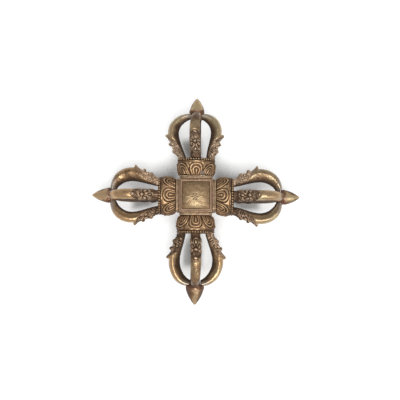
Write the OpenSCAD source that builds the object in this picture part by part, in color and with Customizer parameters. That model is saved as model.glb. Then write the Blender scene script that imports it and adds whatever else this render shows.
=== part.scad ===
// Crossed double vajra in cast brass: four arms brazed into one square hub.
// Every arm is a lotus collar, a pearl ring, a middle spike and four claws with makara heads.
// The work is done by hand, so the cages and tips of the arms differ a little.
// Millimetres. The origin is the middle of the whole object's box, X and Y run along the arms, Z is up.

/* [Arms] */
// Length of the east arm's cage, from the collar's end face to the spike's tip
cage_east = 33.7; // [28:0.2:40]
// Length of the north arm's cage
cage_north = 31.9; // [28:0.2:40]
// Length of the west arm's cage
cage_west = 33.3; // [28:0.2:40]
// Length of the south arm's cage
cage_south = 35.7; // [28:0.2:40]
// Length of the east spike's pointed tip
tip_east = 11.2; // [8:0.1:18]
// Length of the north spike's pointed tip
tip_north = 10; // [8:0.1:18]
// Length of the west spike's pointed tip
tip_west = 11.8; // [8:0.1:18]
// Length of the south spike's pointed tip
tip_south = 12; // [8:0.1:18]
// Radius of the east spike's tip at its base
tip_r_east = 5.1; // [4:0.1:7]
// Radius of the north spike's tip at its base
tip_r_north = 5.2; // [4:0.1:7]
// Radius of the west spike's tip at its base
tip_r_west = 5.2; // [4:0.1:7]
// Radius of the south spike's tip at its base
tip_r_south = 6.3; // [4:0.1:7]
// Distance by which the east cage leans to the right at its middle, looking outward
lean_east = 0; // [-2:0.1:2]
// Distance by which the north cage leans to the right
lean_north = -1.3; // [-2:0.1:2]
// Distance by which the west cage leans to the right
lean_west = 0; // [-2:0.1:2]
// Distance by which the south cage leans to the right
lean_south = -0.6; // [-2:0.1:2]

/* [Hub] */
// Width of the hub block across its flat sides
hub_w = 22.6; // [22:0.2:28]
// Height of the hub block between its upper and lower face
hub_h = 22.6; // [20:0.2:28]
// Chamfer on the upright edges of the hub and on the long edges of the necks
hub_chamfer = 1.4; // [0.4:0.1:3]
// Width of the raised frame line around a boss
frame_w = 0.9; // [0.5:0.1:1.2]
// Height of the raised frame line above the hub face
frame_h = 0.8; // [0.4:0.1:1.6]

/* [Bosses] */
// Width of a square boss
boss_w = 18.2; // [12:0.2:19]
// Depth that a boss is let into the hub face
boss_inlay = 1.5; // [0.8:0.1:2.5]
// Height of the middle of a boss above the hub face
boss_rise = 2.2; // [1:0.1:4]
// Height of the corners of a boss above the hub face
boss_corner = 0.2; // [0:0.1:0.6]
// Radius of the flower that is cut into a boss
rosette_r = 5.8; // [4:0.1:6.5]
// Radius of the flower's plain middle
rosette_eye = 2.8; // [1.6:0.1:3.4]
// Number of strokes that part the flower's petals
rosette_strokes = 12; // [6:1:16]

/* [Lotus collars] */
// Step from the hub's side in to the neck
neck_step = 0.3; // [0.1:0.1:2]
// Length of the square neck
neck_len = 1.9; // [1.6:0.1:5]
// Width and depth of the two grooves around the neck
neck_groove = 0.5; // [0.2:0.1:0.6]
// Radius of the round cup at its widest, without the petals
cup_r = 12.9; // [12.4:0.1:14]
// Distance from the neck to the widest place of the cup
cup_widest = 7.3; // [5:0.1:8]
// Length of the cup from the neck to its lip
cup_len = 10; // [9.6:0.1:12]
// Number of lotus petals around the cup
petal_count = 8; // [6:1:8]
// Height of the petal ridges above the cup
petal_rise = 0.6; // [0.3:0.1:1]
// Distance from the lip of the cup to the middle of a petal's round end
petal_head = 5.8; // [5:0.1:6.6]
// Radius of the round end of a petal
petal_r = 4.1; // [3:0.1:4.6]
// Half width of a petal at the neck
petal_base = 3.6; // [3:0.1:4]
// Radius of the round end of the arch inside a petal
inner_r = 2.6; // [2:0.1:3]
// Half width of the arch inside a petal at the neck
inner_base = 2.2; // [1.6:0.1:2.5]
// Distance by which the inner arch and the drop stand back towards the neck
inner_back = 0.6; // [0:0.1:1]
// Width of the ridges along the arches
petal_edge = 0.7; // [0.4:0.1:0.9]
// Radius of the round end of the drop in the middle of a petal
drop_r = 0.8; // [0.5:0.1:1]
// Length of the drop from its round end's centre to its point
drop_len = 3.8; // [2:0.1:5]
// Half width of the tips of the back petals at the lip
back_petal_half = 2.2; // [0.8:0.1:2.6]
// Length of the tips of the back petals
back_petal_len = 3.4; // [1.2:0.1:4]
// Bare margin left between the petals and the two ends of the cup
petal_margin = 0.3; // [0.1:0.1:1]
// Radius of the spigot that enters the hub
spigot_r = 6.4; // [4.5:0.1:6.5]
// Length of the spigot that enters the hub
spigot_len = 4; // [2:0.1:4.4]

/* [Pearl rings] */
// Length of the step at the collar's outer end that carries the pearl ring
seat_len = 1.9; // [1.9:0.1:4]
// Depth of that step below the lip of the cup
seat_step = 1.4; // [1:0.1:1.8]
// Thickness of the band that carries the pearls
band_t = 1.2; // [1:0.1:1.6]
// Diameter of a pearl
pearl_d = 1.7; // [1.2:0.1:1.7]
// Gap between neighbouring pearls
pearl_gap = 0.05; // [0.04:0.01:0.3]

/* [Claws] */
// Distance of a claw's foot from the arm's axis, inner side
foot_in_r = 6.6; // [5.5:0.1:7]
// Distance of a claw's foot from the arm's axis, outer side
foot_out_r = 12.7; // [11.4:0.1:13]
// Distance from the collar's end face to the belly of a claw
belly_len = 18.4; // [17.6:0.1:20]
// Inner radius of the cage at the belly
belly_in_r = 10.9; // [9:0.1:12]
// Outer radius of the cage at the belly
belly_out_r = 18.3; // [16:0.1:22]
// Width of a claw at its foot and belly
claw_w = 6.8; // [5.4:0.1:7.4]
// Width of a claw at its end
claw_end_w = 4.6; // [3.6:0.1:6.2]
// Thickness of a claw's end along the arm
claw_end_t = 4.2; // [3:0.1:5]
// Share of a claw's depth, from its back, at which it is widest
claw_ridge = 0.36; // [0.3:0.02:0.5]
// Share of the width that the inner keel of the smooth prong loses
claw_keel = 0.8; // [0.5:0.05:0.9]
// Share of the width that the inner keel of the makara head loses
head_keel = 0.4; // [0:0.05:0.45]
// Radial depth of the tenon on a claw's foot
tenon_d = 2.6; // [1.6:0.1:2.8]
// Width of the tenon
tenon_w = 3.6; // [2:0.1:4.4]
// Length of the tenon
tenon_len = 3.2; // [1.5:0.1:4.5]
// Shoulder left between the claw's inner side and the tenon
tenon_shoulder = 0.7; // [0.4:0.1:1]

/* [Makara heads] */
// Distance from the foot to the brow curl
brow_at = 5.1; // [4.2:0.1:5.4]
// Height of the brow curl
brow_rise = 1.5; // [0:0.1:2.6]
// Distance from the foot to the nose curl
nose_at = 9.4; // [9:0.1:10]
// Height of the nose curl
nose_rise = 1.7; // [0:0.1:2.8]
// Distance from the foot to the point of the snout
snout_at = 15.9; // [15.4:0.1:16.6]
// Height of the flat on the snout's point above the belly
snout_rise = 1.7; // [0.8:0.1:2]
// Length of the flat on the snout's point, which the object lies on
snout_flat = 1.2; // [1:0.1:3]
// Half length of a curl along the claw
curl_len = 1.9; // [1.2:0.1:2.2]

/* [Spikes] */
// Radius of the tang that passes through the collar
tang_r = 2.5; // [1.5:0.1:2.6]
// Length of tang that the hub grips beyond the spigot
tang_grip = 3; // [1:0.1:3.6]
// Radius of the shaft inside the cage
shaft_r = 3; // [2.8:0.1:3.2]
// Width of the square block that the claws' ends are brazed to
block_w = 6.6; // [6.6:0.1:7.4]
// Length by which the block runs past the claws' ends
block_margin = 0.8; // [0.2:0.1:2]
// Length of the straight lip at the tip's base
tip_lip = 0.6; // [0.4:0.1:2]
// Height by which the tip's side swells out from a straight cone
tip_bulge = 0.8; // [0.2:0.1:0.9]
// Radius of the blunted point
tip_blunt = 0.4; // [0.2:0.1:1]

/* [Fits] */
// Brazing gap between parts that slide into each other
braze_gap = 0.1; // [0.05:0.05:0.2]

/* [Hidden] */
// Name of an arm, its compass angle, the length of its cage, the length and radius of its tip,
// and the lean of its cage
ARMS = [
    ["east", 0, cage_east, tip_east, tip_r_east, lean_east],
    ["north", 90, cage_north, tip_north, tip_r_north, lean_north],
    ["west", 180, cage_west, tip_west, tip_r_west, lean_west],
    ["south", 270, cage_south, tip_south, tip_r_south, lean_south]
];
// Side of an arm that a claw stands on, looking outward, and its angle about the arm's axis
SIDES = [["upper", 0], ["right", 90], ["lower", 180], ["left", 270]];
ARM_PIECES = ["lotus_collar", "pearl_ring", "spike"];
NODES = concat(
    ["hub", "boss_upper", "boss_lower"],
    [for (piece = ARM_PIECES) for (arm = ARMS) str(piece, "_", arm[0])],
    [for (arm = ARMS) for (side = SIDES) str("claw_", arm[0], "_", side[0])]
);
node = "all";

$fn = 64;
// Length that a cut runs past the face that it opens
over = 1;
// Depth that the petals' ridges reach into the cup's wall
petal_root = 2;
// Radius of the round tool that cuts the flower's strokes
stroke_r = 0.35;
// Height that the snout's crest would reach above its flat
snout_cut = 2;

// Distances along an arm from the middle of the hub
hub_side = hub_w / 2;
cup_start = hub_side + neck_len;
cup_middle = cup_start + cup_widest;
lip_at = cup_start + cup_len;
end_face = lip_at + seat_len;
spigot_end = hub_side - spigot_len;
tang_end = spigot_end - tang_grip;

// Middle of the hub, set so that the origin is the middle of the whole object's box
reach = [for (arm = ARMS) end_face + arm[2] + arm[3]];
hub_at = [(reach[2] - reach[0]) / 2, (reach[3] - reach[1]) / 2, 0];

// Distances from an arm's axis
neck_side = hub_side - neck_step;
lip_r = sqrt(pow(cup_r, 2) - pow(cup_len - cup_widest, 2));
seat_r = lip_r - seat_step;
ring_bore_r = seat_r + braze_gap;
pearl_orbit = ring_bore_r + band_t;
pearl_count = floor(360 / (2 * asin((pearl_d + pearl_gap) / (2 * pearl_orbit))));
tang_bore_r = tang_r + braze_gap;
rest_r = belly_out_r + snout_rise;
claw_end_r = block_w / 2 + braze_gap;
tenon_in_r = foot_in_r + tenon_shoulder;
tenon_mid_r = tenon_in_r + tenon_d / 2;

// The boss is the top of a ball that passes through its middle and its four corners
hub_top = hub_h / 2;
boss_half_diagonal = boss_w / sqrt(2);
boss_sag = boss_rise - boss_corner;
boss_ball_r = (pow(boss_half_diagonal, 2) + pow(boss_sag, 2)) / (2 * boss_sag);
boss_ball_middle = hub_top + boss_rise - boss_ball_r;
function boss_height(r) = boss_ball_middle + sqrt(pow(boss_ball_r, 2) - pow(r, 2));

brass = "#b59a68";
carved_brass = "#8c6a4c";
pearl_brass = "#a58660";
claw_brass = "#ad9060";

// An arm's own frame: its axis is Z, its upper side is X, and the hub's middle is its origin
module on_arm(compass) {
    rotate([0, -90, 180 + compass]) children();
}

// Moves a piece from the hub's own frame into the object's frame
module placed() {
    translate(hub_at) children();
}

// A plain disc along an arm's axis between two distances
module disc(from, to, r) {
    translate([0, 0, from]) cylinder(h = to - from, r = r);
}

module hub() {
    color(carved_brass) difference() {
        union() {
            linear_extrude(hub_h, center = true) cut_square(hub_side);
            linear_extrude(hub_h + 2 * frame_h, center = true) square(boss_w + 2 * frame_w, center = true);
        }
        for (face = [-1, 1])
            translate([0, 0, face * (hub_top - boss_inlay + hub_h / 2)])
                cube([boss_w, boss_w, hub_h], center = true);
        for (arm = ARMS) on_arm(arm[1]) hub_socket();
    }
}

// Square with its four corners cut off
module cut_square(side) {
    flat = side - hub_chamfer;
    polygon([
        for (corner = [0:3]) let (turn = 90 * corner)
        for (p = [[side, flat], [flat, side]])
            [p[0] * cos(turn) - p[1] * sin(turn), p[0] * sin(turn) + p[1] * cos(turn)]
    ]);
}

// Stepped hole in one side of the hub: wide for the collar's spigot, narrow for the spike's tang
module hub_socket() {
    disc(spigot_end - braze_gap, hub_side + over, spigot_r + braze_gap);
    disc(tang_end - braze_gap, hub_side, tang_bore_r);
}

// Square cushion in its recess, with the flower that is cut into it
module boss(face) {
    side = boss_w - 2 * braze_gap;
    foot = hub_top - boss_inlay;
    color(brass) mirror([0, 0, face < 0 ? 1 : 0]) difference() {
        intersection() {
            translate([-side / 2, -side / 2, foot]) cube([side, side, boss_inlay + boss_rise + over]);
            translate([0, 0, boss_ball_middle]) sphere(boss_ball_r);
        }
        for (stroke = [0:rosette_strokes - 1])
            rotate((stroke + 0.5) * 360 / rosette_strokes) rosette_stroke();
    }
}

// One straight stroke of the flower, along the slope of the boss between two of its petals
module rosette_stroke() {
    start = [rosette_eye, boss_height(rosette_eye)];
    end = [rosette_r, boss_height(rosette_r)];
    slope = atan2(start[1] - end[1], end[0] - start[0]);
    translate([start[0], 0, start[1]])
        rotate([0, 90 + slope, 0])
        cylinder(h = norm(end - start), r = stroke_r);
}

module lotus_collar() {
    color(carved_brass) difference() {
        union() {
            disc(spigot_end, hub_side + over, spigot_r);
            collar_neck();
            cup(cup_r, cup_start, lip_at);
            disc(lip_at - over, end_face, seat_r);
            intersection() {
                cup(cup_r + petal_rise, cup_start + petal_margin, lip_at - petal_margin);
                petals();
            }
        }
        disc(spigot_end - over, end_face + over, tang_bore_r);
        for (side = SIDES) rotate(side[1]) mortise();
    }
}

// Square neck with two grooves around it, on a round core that runs into the cup
module collar_neck() {
    land = (neck_len - 2 * neck_groove) / 3;
    disc(hub_side, cup_start + over, neck_side - neck_groove);
    neck_plate(hub_side, cup_start, neck_side - neck_groove);
    for (ring = [0:2]) {
        start = hub_side + ring * (land + neck_groove);
        neck_plate(start, start + land, neck_side);
    }
}

module neck_plate(from, to, side) {
    translate([0, 0, from]) linear_extrude(to - from) cut_square(side);
}

// Slice of a ball between two distances along the arm
module cup(r, from, to) {
    intersection() {
        translate([0, 0, cup_middle]) sphere(r);
        disc(from, to, r + over);
    }
}

// Ridges of the lotus petals and the tips that show between them, cut out of a ball later on
module petals() {
    step = 360 / petal_count;
    for (petal = [0:petal_count - 1]) {
        rotate(petal * step) radial_extrude() petal_outline();
        rotate((petal + 0.5) * step) radial_extrude() back_petal_outline();
    }
}

// Extrudes an outline, drawn with its Y along the arm, outward from inside the cup's wall
module radial_extrude() {
    translate([cup_r - petal_root, 0, 0])
        rotate([90, 0, 90])
        linear_extrude(petal_root + petal_rise + over)
        children();
}

// Two arches, one inside the other, with their round ends towards the claws and a drop in the middle
module petal_outline() {
    head = lip_at - petal_head;
    inner_head = head - inner_back;
    petal_ridge(petal_base, petal_r, head);
    petal_ridge(inner_base, inner_r, inner_head);
    drop(drop_r, drop_len, inner_head);
}

// Ridge along the edge of an arch
module petal_ridge(base, r, head) {
    difference() {
        petal_arch(base, r, head);
        petal_arch(base - petal_edge, r - petal_edge, head);
    }
}

// Round end on two straight sides that run down to the neck
module petal_arch(base, r, head) {
    translate([0, head]) circle(r);
    polygon([[-base, cup_start - over], [base, cup_start - over], [base, head], [-base, head]]);
}

// Round end with its point towards the neck
module drop(r, length, head) {
    touch = acos(r / length);
    translate([0, head]) circle(r);
    polygon([
        [0, head - length],
        [r * sin(touch), head - r * cos(touch)],
        [-r * sin(touch), head - r * cos(touch)]
    ]);
}

// Pointed tip of the row of petals behind, between the round ends of the front row
module back_petal_outline() {
    top = lip_at - petal_margin;
    polygon([[-back_petal_half, top], [back_petal_half, top], [0, top - back_petal_len]]);
}

// Pocket in the collar's end face for a claw's tenon
module mortise() {
    depth = tenon_d + 2 * braze_gap;
    width = tenon_w + 2 * braze_gap;
    translate([tenon_in_r - braze_gap, -width / 2, end_face - tenon_len - braze_gap])
        cube([depth, width, tenon_len + braze_gap + over]);
}

// Band with a row of pearls that slips over the collar's step
module pearl_ring() {
    middle = lip_at + seat_len / 2;
    half = pearl_d / 2 - braze_gap;
    color(pearl_brass) difference() {
        union() {
            disc(middle - half, middle + half, pearl_orbit);
            for (pearl = [0:pearl_count - 1])
                rotate(pearl * 360 / pearl_count)
                    translate([pearl_orbit, 0, middle]) sphere(d = pearl_d);
        }
        disc(lip_at, end_face, ring_bore_r);
    }
}

// Middle prong: tang, shaft, block for the claws' ends and an ogive tip
module spike(cage_len, tip_len, tip_r) {
    tip_base = end_face + cage_len;
    block_len = claw_end_t + block_margin;
    color(brass) {
        disc(tang_end, end_face + over, tang_r);
        disc(end_face, tip_base + tip_lip, shaft_r);
        translate([-block_w / 2, -block_w / 2, tip_base - block_len]) cube([block_w, block_w, block_len]);
        translate([0, 0, tip_base]) rotate_extrude() ogive(tip_len, tip_r);
    }
}

// Half outline of the tip: a straight lip, then an arc that swells out from a straight cone
module ogive(tip_len, tip_r) {
    rise = tip_len - tip_lip;
    fall = tip_r - tip_blunt;
    cone = norm([rise, fall]);
    arc_r = (pow(cone / 2, 2) + pow(tip_bulge, 2)) / (2 * tip_bulge);
    cone_middle = [(tip_r + tip_blunt) / 2, rise / 2];
    square([tip_r, tip_lip]);
    translate([0, tip_lip]) intersection() {
        translate(cone_middle - (arc_r - tip_bulge) / cone * [rise, fall]) circle(arc_r);
        square([tip_r, rise]);
    }
}

// Point of a cubic curve through four points
function bezier(p, t) =
    pow(1 - t, 3) * p[0] + 3 * pow(1 - t, 2) * t * p[1] + 3 * (1 - t) * pow(t, 2) * p[2] + pow(t, 3) * p[3];

// Edges of a claw, as points of [radius, distance along the arm].
// The lower half runs from the foot to the belly, the upper half from the belly to the end.
// A bend gives the two middle points of a curve, as shares of the way from its start to its end.
belly_at = end_face + belly_len;
OUTER_LOWER_BEND = [[0.18, 0.3], [1, 0.63]];
INNER_LOWER_BEND = [[0.22, 0.35], [1, 0.69]];
OUTER_UPPER_BEND = [[0, 0.52], [0.33, 1]];
INNER_UPPER_BEND = [[0, 0.4], [0.39, 0.84]];
function bent(from, to, bend) = [
    from,
    for (share = bend) [for (axis = [0:1]) from[axis] + share[axis] * (to[axis] - from[axis])],
    to
];
outer_lower = bent([foot_out_r, end_face], [belly_out_r, belly_at], OUTER_LOWER_BEND);
inner_lower = bent([foot_in_r, end_face], [belly_in_r, belly_at], INNER_LOWER_BEND);
// Distance along the arm at which a claw's outer edge meets the spike's block
function claw_top(cage_len) = end_face + cage_len - 2 * braze_gap;
function outer_upper(top) = bent([belly_out_r, belly_at], [claw_end_r, top], OUTER_UPPER_BEND);
function inner_upper(top) = bent([belly_in_r, belly_at], [claw_end_r, top - claw_end_t], INNER_UPPER_BEND);

// Rings of points along a claw's lower and upper half, and points around a ring
lower_rings = 20;
upper_rings = 13;
ring_points = 12;

// Height of the makara head's crests above the claw's outer edge, at a distance from the foot.
// A crest keeps its full rise between two places and falls off over a length on either side.
function crest(from_foot, from, to, rise, before, after) =
    let (share = max((from - from_foot) / before, (from_foot - to) / after, 0))
    share < 1 ? rise * (1 + cos(180 * share)) / 2 : 0;
function curl(from_foot, at, rise) = crest(from_foot, at, at, rise, curl_len, curl_len);
function head_relief(from_foot) =
    curl(from_foot, brow_at, brow_rise)
    + curl(from_foot, nose_at, nose_rise)
    + crest(
        from_foot, snout_at - snout_flat / 2, snout_at + snout_flat / 2,
        snout_rise + snout_cut, 2 * curl_len, curl_len
    );

// One ring: a round back with crests raised along it, then straight flanks that draw in to the inner keel
function claw_ring(outer, inner, half_w, keel) =
    let (
        ridge = outer + claw_ridge * (inner - outer),
        relief = head_relief(outer[1] - end_face)
    )
    [for (i = [0:ring_points - 1])
        let (
            turn = 360 * i / ring_points,
            back = max(0, cos(turn)),
            front = max(0, -cos(turn)),
            at = ridge + back * (outer - ridge) + front * (inner - ridge),
            side = front > 0 ? sign(sin(turn)) * (1 - keel * front) : sin(turn)
        )
        [min(at[0] + relief * pow(back, 2), rest_r), half_w * side, at[1]]];

// Ring of the tenon at a distance along the arm: a rectangle with its corners cut
function tenon_ring(at) =
    [for (i = [0:ring_points - 1])
        let (
            turn = 360 * i / ring_points,
            square_up = max(abs(cos(turn)), abs(sin(turn)))
        )
        [tenon_mid_r + tenon_d / 2 * cos(turn) / square_up, tenon_w / 2 * sin(turn) / square_up, at]];

function claw_rings(cage_len) =
    let (
        outer = outer_upper(claw_top(cage_len)),
        inner = inner_upper(claw_top(cage_len))
    )
    concat(
        [tenon_ring(end_face - tenon_len), tenon_ring(end_face)],
        [for (k = [0:lower_rings])
            let (t = k / lower_rings, keel = head_keel + (claw_keel - head_keel) * pow(t, 2))
            claw_ring(bezier(outer_lower, t), bezier(inner_lower, t), claw_w / 2, keel)],
        [for (k = [1:upper_rings])
            let (t = k / upper_rings, half_w = (claw_w + (claw_end_w - claw_w) * pow(t, 2)) / 2)
            claw_ring(bezier(outer, t), bezier(inner, t), half_w, claw_keel)]
    );

// A point turned to its side about the arm's axis and moved by the lean of the cage.
// The lean is full halfway up the cage and fades out towards the foot and the end.
function leaned(p, turn, cage_len, lean) =
    let (
        share = max(0, p[2] - end_face) / cage_len,
        shift = lean * 4 * share * (1 - share)
    )
    [p[0] * cos(turn) - p[1] * sin(turn), p[0] * sin(turn) + p[1] * cos(turn) + shift, p[2]];

// Curved prong with its makara head and tenon, one closed loft through all the rings
module claw(turn, cage_len, lean) {
    rings = claw_rings(cage_len);
    last = len(rings) - 1;
    points = [for (ring = rings) for (p = ring) leaned(p, turn, cage_len, lean)];
    faces = concat(
        [[for (i = [0:ring_points - 1]) i]],
        [for (k = [0:last - 1]) for (i = [0:ring_points - 1]) each loft_pair(k, i)],
        [[for (i = [ring_points - 1:-1:0]) last * ring_points + i]]
    );
    color(claw_brass) polyhedron(points, faces);
}

// Two triangles between neighbouring points of ring k and the ring after it
function loft_pair(k, i) =
    let (
        next = (i + 1) % ring_points,
        a = k * ring_points + i,
        b = k * ring_points + next,
        c = a + ring_points,
        d = b + ring_points
    )
    [[a, c, b], [b, c, d]];

function wanted(name) = node == "all" || node == name;

if (wanted("hub")) placed() hub();
if (wanted("boss_upper")) placed() boss(1);
if (wanted("boss_lower")) placed() boss(-1);
for (arm = ARMS) {
    if (wanted(str("lotus_collar_", arm[0]))) placed() on_arm(arm[1]) lotus_collar();
    if (wanted(str("pearl_ring_", arm[0]))) placed() on_arm(arm[1]) pearl_ring();
    if (wanted(str("spike_", arm[0]))) placed() on_arm(arm[1]) spike(arm[2], arm[3], arm[4]);
    for (side = SIDES)
        if (wanted(str("claw_", arm[0], "_", side[0])))
            placed() on_arm(arm[1]) claw(side[1], arm[2], arm[5]);
}
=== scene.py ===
"""Crossed double vajra in old cast brass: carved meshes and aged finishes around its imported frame.

Sizes are in millimetres. A piece is drawn in its arm's own frame (up, right, outward) or in the hub's,
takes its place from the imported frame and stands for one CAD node.
"""

import math

import bpy
import numpy as np
from mathutils import Matrix, Vector


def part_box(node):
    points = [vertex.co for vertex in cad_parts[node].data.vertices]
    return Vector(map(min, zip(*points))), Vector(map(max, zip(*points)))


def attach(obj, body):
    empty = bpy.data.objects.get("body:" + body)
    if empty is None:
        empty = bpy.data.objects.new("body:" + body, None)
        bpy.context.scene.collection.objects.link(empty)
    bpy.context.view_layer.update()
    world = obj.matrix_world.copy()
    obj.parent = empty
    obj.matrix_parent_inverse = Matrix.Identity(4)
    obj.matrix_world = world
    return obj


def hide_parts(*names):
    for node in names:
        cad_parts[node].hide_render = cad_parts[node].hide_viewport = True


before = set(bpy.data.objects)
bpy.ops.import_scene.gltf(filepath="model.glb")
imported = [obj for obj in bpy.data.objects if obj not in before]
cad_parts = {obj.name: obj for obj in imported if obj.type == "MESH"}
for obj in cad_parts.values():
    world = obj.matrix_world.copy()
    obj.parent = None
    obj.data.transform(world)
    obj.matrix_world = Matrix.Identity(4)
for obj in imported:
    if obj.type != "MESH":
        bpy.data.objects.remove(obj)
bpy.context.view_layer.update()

MM = 0.001
SEED = 20


def node_box(node):
    """Lowest and highest corner of a CAD node, in millimetres."""
    low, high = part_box(node)
    return np.array(low) / MM, np.array(high) / MM


# Hub and bosses
HUB_LOW, HUB_HIGH = node_box("hub")
BOSS_LOW, BOSS_HIGH = node_box("boss_upper")
HUB_AT = (HUB_LOW + HUB_HIGH) / 2
HUB_SIDE = HUB_HIGH[0] - HUB_AT[0]
FRAME_TOP = HUB_HIGH[2]
FRAME_H = 0.8
FRAME_W = 0.9
HUB_TOP = FRAME_TOP - FRAME_H
BOSS_HALF = (BOSS_HIGH[0] - BOSS_LOW[0]) / 2
BOSS_TOP = BOSS_HIGH[2]
BOSS_FOOT = BOSS_LOW[2]
BOSS_RISE = 1.5
FLOWER_AT = (-0.6, -0.9)

# Arms: compass angle of each, and the angle of a claw's side about its arm's axis
ARMS = {"east": 0, "north": 90, "west": 180, "south": 270}
SIDES = {"upper": 0, "right": 90, "lower": 180, "left": 270}

# What sets the arms apart: redder metal, dust and darker tips
WARMTH = {"east": 0.4, "north": 0.2, "west": 0.9, "south": 0.7}
DUST = {"east": 0.1, "north": 0.15, "west": 0, "south": 0}
TIP_STAINS = {"south": 0.25, "east": 0.08}

# What sets single claws apart: darker or brighter heads and prongs, and stouter bellies
# Upper claws are darker, and the lower claws, under the object, darker still
UPPER_GRIME = 0.2
LOWER_DARKENING = 0.5
HEAD_STAINS = {
    "east_right": 0.18, "east_left": -0.1, "north_left": -0.16, "west_upper": -0.06,
    "west_right": -0.26, "west_left": 0.14, "south_right": 0.26,
}
PRONG_STAINS = {
    "east_right": -0.1, "east_left": 0.13, "north_upper": 0.19, "north_left": 0.08,
    "west_right": 0.15, "west_left": -0.14, "south_upper": 0.19, "south_right": 0.1,
}
STOUT = {"east_left": 0.9, "west_right": 1.1}
STOUT_OUTSIDE = 0.9

# Lotus collars, as distances along the arm and radii about it
NECK_LEN = 1.9
NECK_HALF = 11.0
CUP_START = HUB_SIDE + NECK_LEN
CUP_MIDDLE = CUP_START + 7.3
CUP_R = 12.9
LIP_AT = CUP_START + 10
END_FACE = node_box("lotus_collar_east")[1][0] - HUB_AT[0]
SEAT_R = 11.2
PETALS = 8
PETAL_STEP = 2 * math.pi / PETALS
PETAL_HEAD = LIP_AT - 5.8
PETAL_R = 4.1
PETAL_BASE = 3.7
PETAL_RIM = 0.6
PETAL_INNER_R = 2.6
PETAL_INNER_BASE = 2.2
PETAL_END = LIP_AT - 0.9
PETAL_MIDDLE = CUP_START + 5
PETAL_FAN = 0.03
SOLDER_RUN = {"angle": math.radians(21), "at": CUP_START + 1.3, "radius": 2.0}

# Pearl rings
PEARLS = 44
PEARL_R = 0.66
PEARL_ORBIT = 12.2
PEARL_BAND_R = 12.0
PEARL_BAND_HALF = 0.75

# Claws: radius and distance along the arm of their outer and inner lines, and the section between them
REST_R = -node_box("claw_east_lower")[0][2]
BELLY_AT = END_FACE + 18.4
FOOT_OUT = np.array([12.7, END_FACE])
FOOT_IN = np.array([6.6, END_FACE])
BELLY_OUT = np.array([18.3, BELLY_AT])
BELLY_IN = np.array([10.9, BELLY_AT])
CLAW_END_R = 3.4
CLAW_END_T = 4.2
CLAW_HALF_W = 3.4
CLAW_END_HALF_W = 2.2
CLAW_RIDGE = 0.36
CLAW_KEEL = 0.8
HEAD_KEEL = 0.4
FLANK_POWER = 1.4
EDGE_ROUND_FROM = 0.86
OUTER_LOWER_BEND = [[0.18, 0.3], [1, 0.63]]
INNER_LOWER_BEND = [[0.22, 0.35], [1, 0.69]]
OUTER_UPPER_BEND = [[0, 0.52], [0.33, 1]]
INNER_UPPER_BEND = [[0, 0.4], [0.39, 0.84]]

# Makara heads: places along a claw from its foot, and how far its crests and carving stand out
GEM_AT = 5.1
BROW_SCROLL_AT = 4.9
EYE_AT = 8.2
CHEEK_AT = EYE_AT + 0.3
NOSE_AT = 10.0
NOSE_ROLL_AT = NOSE_AT + 0.2
NOSE_SCROLL_AT = NOSE_AT + 0.7
SNOUT_START = 12.2
SNOUT_AT = 16.2
SNOUT_DROP = 1.2
SNOUT_RISE = 2.2
SNOUT_POWER = 1.5
MOUTH_AT = 17.4
MOUTH_SLANT = 0.45
MOUTH_BEND = 0.05
CURL_LEN = 1.9
BROW_RISE = 0.8
NOSE_RISE = 1.1
MOST_CARVED = 0.95

# Past this distance from the middle of a claw's back its flank is a smooth band
BAND_AT = 7.5

# Spikes
SHAFT_R = 3.0
BLOCK_HALF = 3.3
BLOCK_LEN = 5.0
TIP_LIP = 0.6
TIP_BULGE = 0.8
TIP_BLUNT = 0.4
TIP_PAST_CLAWS = 0.2
BRAZE_LEN = 2.0

# Squareness of a ring: a circle, and squares with sharper and sharper corners
ROUND = 2
BLOCK_CORNER = 8
NECK_CORNER = 10
HUB_CORNER = 20
RECESS_CORNER = 40

# Fineness of the meshes
LOWER_SHARES = np.linspace(0, 1, 104)
UPPER_SHARES = np.linspace(0, 1, 40)[1:]
BACK_POINTS = 19
FLANK_POINTS = 18
NECK_RINGS = 22
CUP_RINGS = 70
COLLAR_POINTS = 288
PEARL_RINGS = 9
PEARL_POINTS = 14
PEARL_BAND_POINTS = 96
SHAFT_RINGS = 24
BLOCK_RINGS = 8
TIP_RINGS = 44
SPIKE_POINTS = 64
HUB_SIDE_RINGS = 12
HUB_POINTS = 192
BOSS_RINGS = 64
BOSS_POINTS = 160
SHARP_EDGE = math.radians(60)

# Colours: each brass rubbed bright in two casts, on its carving, and brown where nothing rubs it and where
# shade is painted
METALS = {
    "claw_brass": {"gold": "#b9a480", "tan": "#bf9c74", "carved": "#bda28c", "brown": "#684f39"},
    "carved_brass": {"gold": "#c6ab80", "tan": "#caa278", "carved": "#c5a27b", "brown": "#7a5b42"},
    "hub_brass": {
        "gold": "#b0957a", "tan": "#b2937c", "carved": "#b0937c", "brown": "#86694f", "dullness": 0.06,
    },
    "boss_brass": {
        "gold": "#b29b78", "tan": "#b09572", "carved": "#b29b78", "brown": "#8c7052", "dullness": 0.08,
    },
    "spike_brass": {"gold": "#cab48c", "tan": "#c8a882", "carved": "#c6a68c", "brown": "#7c5f44"},
}
DIRT = "#34271f"
BRAZE = "#9a6355"
FILM = "#b3a89c"
PAPER = ("#ced1cf", "#d2d3d2")


def smooth(low, high, x):
    """Soft step from 0 at low to 1 at high, which may be the smaller of the two."""
    share = np.clip((x - low) / (high - low), 0, 1)
    return share * share * (3 - 2 * share)


def line(distance, width):
    """Round-backed line: 1 on it, next to nothing two widths away."""
    return np.exp(-((distance / width) ** 2))


def dome(x, y, half_x, half_y):
    """Half ball over an ellipse, 1 at its middle."""
    return np.sqrt(np.clip(1 - (x / half_x) ** 2 - (y / half_y) ** 2, 0, 1))


def roll(x, half):
    """Half round bar, 1 along its middle."""
    return dome(x, 0, half, 1)


def rim(x, y, half_x, half_y, width):
    """Line around an ellipse."""
    reach = np.hypot(x / half_x, y / half_y)
    return line((reach - 1) * (half_x + half_y) / 2, width)


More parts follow.
